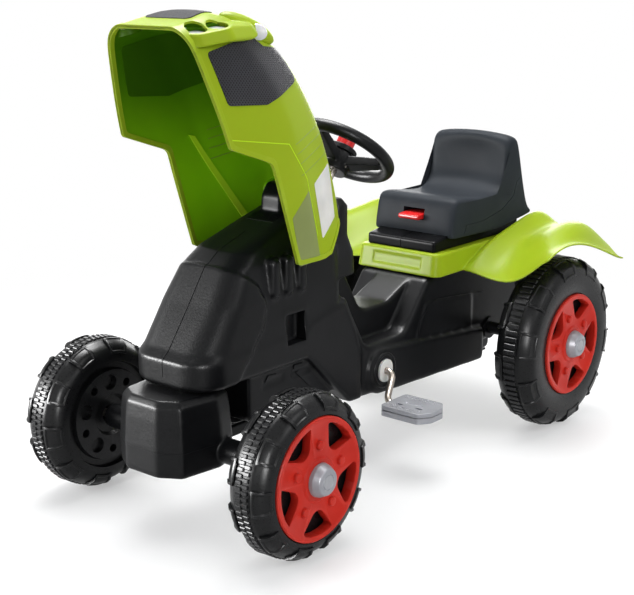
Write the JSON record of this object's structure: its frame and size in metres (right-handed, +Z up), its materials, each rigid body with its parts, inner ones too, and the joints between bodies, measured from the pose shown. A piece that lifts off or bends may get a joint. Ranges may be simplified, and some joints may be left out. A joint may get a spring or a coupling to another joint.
{
  "type": "pedal tractor",
  "caption": "Child's ride-on pedal tractor with a tipping bonnet, steered front axle, chain-driven rear axle, crank pedals and a sliding seat.",
  "frame": {"origin": "centre of the bounding box's bottom face, on the floor", "axes": "+X forward, +Y to the rider's left, +Z up"},
  "size_m": [0.8774, 0.472, 0.6662],
  "materials": {
    "black_plastic": "satin, fine grain",
    "wheel_black": "satin",
    "green_plastic": "semi-gloss",
    "grille_black": "matt, fine mesh",
    "seat_grey": "satin",
    "red_plastic": "semi-gloss",
    "signal_red": "gloss",
    "silver_plastic": "satin",
    "white_plastic": "matt",
    "lens_white": "gloss",
    "steel": "zinc plated"
  },
  "bodies": {
    "chassis": {"body_shell": "black_plastic", "chain_cover": "black_plastic", "cover_screws": "steel", "crank_bearing_left": "white_plastic", "crank_bearing_right": "white_plastic", "axle_bush_left": "white_plastic", "axle_bush_right": "white_plastic", "column_bush": "white_plastic", "king_pin": "steel", "king_pin_nut": "steel", "thrust_washer": "white_plastic", "bonnet_pin": "steel", "mudguard": "green_plastic", "seat_rail": "black_plastic", "rail_screws": "steel", "drive_chain": "steel"},
    "bonnet": {"bonnet_shell": "green_plastic", "nose_grille": "grille_black", "side_grille_left": "grille_black", "side_grille_right": "grille_black", "lamp_discs": "grille_black", "headlamp_left": "lens_white", "headlamp_right": "lens_white"},
    "steering": {"steering_wheel": "black_plastic", "steering_column": "steel", "wheel_pin": "steel", "horn_cup": "black_plastic", "horn_spring": "steel"},
    "horn": {"horn_button": "signal_red"},
    "front_axle": {"axle_block": "black_plastic", "front_axle_rod": "steel", "front_axle_clips": "steel"},
    "front_wheel_left": {"front_tyre_left": "wheel_black", "front_disc_left": "red_plastic", "front_cap_left": "silver_plastic"},
    "front_wheel_right": {"front_tyre_right": "wheel_black", "front_disc_right": "red_plastic", "front_cap_right": "silver_plastic"},
    "drive_axle": {"rear_axle_rod": "steel", "drive_pin": "steel", "rear_spacers": "white_plastic", "rear_axle_clips": "steel", "axle_sprocket": "steel", "rear_tyre_left": "wheel_black", "rear_disc_left": "red_plastic", "rear_cap_left": "silver_plastic"},
    "rear_wheel_right": {"rear_tyre_right": "wheel_black", "rear_disc_right": "red_plastic", "rear_cap_right": "silver_plastic"},
    "crank": {"crank_rod": "steel", "crank_sprocket": "steel"},
    "pedal_left": {"pedal_upper_left": "silver_plastic", "pedal_lower_left": "silver_plastic"},
    "pedal_right": {"pedal_upper_right": "silver_plastic", "pedal_lower_right": "silver_plastic"},
    "seat": {"seat_shell": "seat_grey", "latch_pin": "steel"},
    "latch": {"seat_latch": "signal_red"}
  },
  "joints": [
    {"name": "bonnet_hinge", "type": "hinge", "parent": "chassis", "child": "bonnet", "pos_m": [0.14425, 0, 0.415], "axis": [0, 1, 0], "range_deg": [0, 77]},
    {"name": "axle_steer", "type": "hinge", "parent": "chassis", "child": "front_axle", "pos_m": [0.33125, 0, 0.15], "axis": [0, 0, 1], "range_deg": [-22, 22]},
    {"name": "steering_turn", "type": "hinge", "parent": "chassis", "child": "steering", "pos_m": [0.01125, 0, 0.456], "axis": [-0.6157, 0, 0.788], "range_deg": [-45, 45]},
    {"name": "horn_press", "type": "slide", "parent": "steering", "child": "horn", "axis": [0.6157, 0, -0.788], "range_m": [0, 0.005], "stiffness_N_per_m": 200, "springref_m": -0.003, "deforming": ["horn_spring"]},
    {"name": "front_left_spin", "type": "hinge", "parent": "front_axle", "child": "front_wheel_left", "pos_m": [0.33125, 0, 0.1075], "axis": [0, 1, 0], "continuous": true},
    {"name": "front_right_spin", "type": "hinge", "parent": "front_axle", "child": "front_wheel_right", "pos_m": [0.33125, 0, 0.1075], "axis": [0, 1, 0], "continuous": true},
    {"name": "axle_spin", "type": "hinge", "parent": "chassis", "child": "drive_axle", "pos_m": [-0.30075, 0, 0.136], "axis": [0, 1, 0], "continuous": true, "deforming": ["drive_chain"]},
    {"name": "rear_right_spin", "type": "hinge", "parent": "drive_axle", "child": "rear_wheel_right", "pos_m": [-0.30075, 0, 0.136], "axis": [0, 1, 0], "continuous": true},
    {"name": "crank_spin", "type": "hinge", "parent": "chassis", "child": "crank", "pos_m": [-0.00233, 0, 0.136], "axis": [0, 1, 0], "continuous": true},
    {"name": "pedal_left_spin", "type": "hinge", "parent": "crank", "child": "pedal_left", "pos_m": [0.01417, 0, 0.09413], "axis": [0, 1, 0], "continuous": true},
    {"name": "pedal_right_spin", "type": "hinge", "parent": "crank", "child": "pedal_right", "pos_m": [-0.01882, 0, 0.17787], "axis": [0, 1, 0], "continuous": true},
    {"name": "seat_slide", "type": "slide", "parent": "chassis", "child": "seat", "axis": [0.9903, 0, -0.1392], "range_m": [-0.04, 0.025]},
    {"name": "latch_lift", "type": "hinge", "parent": "seat", "child": "latch", "pos_m": [-0.22875, 0, 0.3355], "axis": [0, -1, 0], "range_deg": [0, 5], "stiffness_Nm_per_rad": 0.1, "springref_deg": -17.19}
  ],
  "couplings": [
    {"joint": "steering_turn", "follows": "axle_steer", "ratio": 2.04},
    {"joint": "crank_spin", "follows": "axle_spin", "ratio": 0.8}
  ]
}
